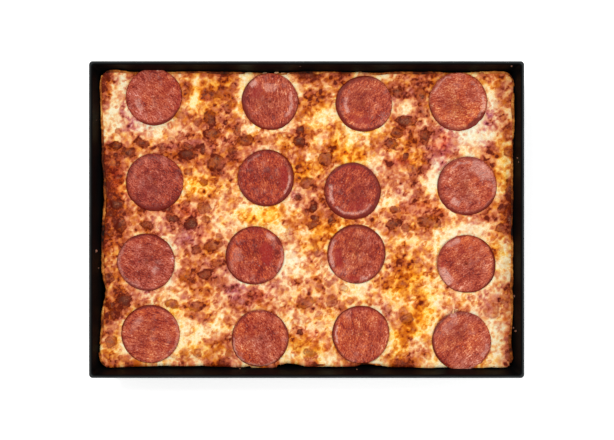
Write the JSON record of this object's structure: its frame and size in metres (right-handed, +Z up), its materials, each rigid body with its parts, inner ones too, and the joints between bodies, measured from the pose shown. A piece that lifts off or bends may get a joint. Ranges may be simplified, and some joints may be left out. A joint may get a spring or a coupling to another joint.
{
  "type": "pepperoni pan pizza in its baking pan",
  "caption": "Thick rectangular pan pizza with browned cheese and large round pepperoni slices, in the dark metal pan that it was baked in.",
  "frame": {"origin": "under the middle of the pan's flat base, on the surface that it stands on", "axes": "+X along the pan's long side, +Y along its short side, +Z up"},
  "size_m": [0.363, 0.2642, 0.058],
  "materials": {
    "pan_metal": "dark baked-on coating, satin, brighter on the rolled rim",
    "baked_dough": "brown baked edge, matte and craggy",
    "melted_cheese": "melted, golden and cream, with browned blisters and a thin gloss of oil",
    "pepperoni_meat": "brick red, fine fibrous grain, oily"
  },
  "bodies": {
    "root": {"pan": "pan_metal", "crust": "baked_dough", "cheese": "melted_cheese", "pepperoni_01": "pepperoni_meat", "pepperoni_02": "pepperoni_meat", "pepperoni_03": "pepperoni_meat", "pepperoni_04": "pepperoni_meat", "pepperoni_05": "pepperoni_meat", "pepperoni_06": "pepperoni_meat", "pepperoni_07": "pepperoni_meat", "pepperoni_08": "pepperoni_meat", "pepperoni_09": "pepperoni_meat", "pepperoni_10": "pepperoni_meat", "pepperoni_11": "pepperoni_meat", "pepperoni_12": "pepperoni_meat", "pepperoni_13": "pepperoni_meat", "pepperoni_14": "pepperoni_meat", "pepperoni_15": "pepperoni_meat", "pepperoni_16": "pepperoni_meat"}
  },
  "joints": []
}
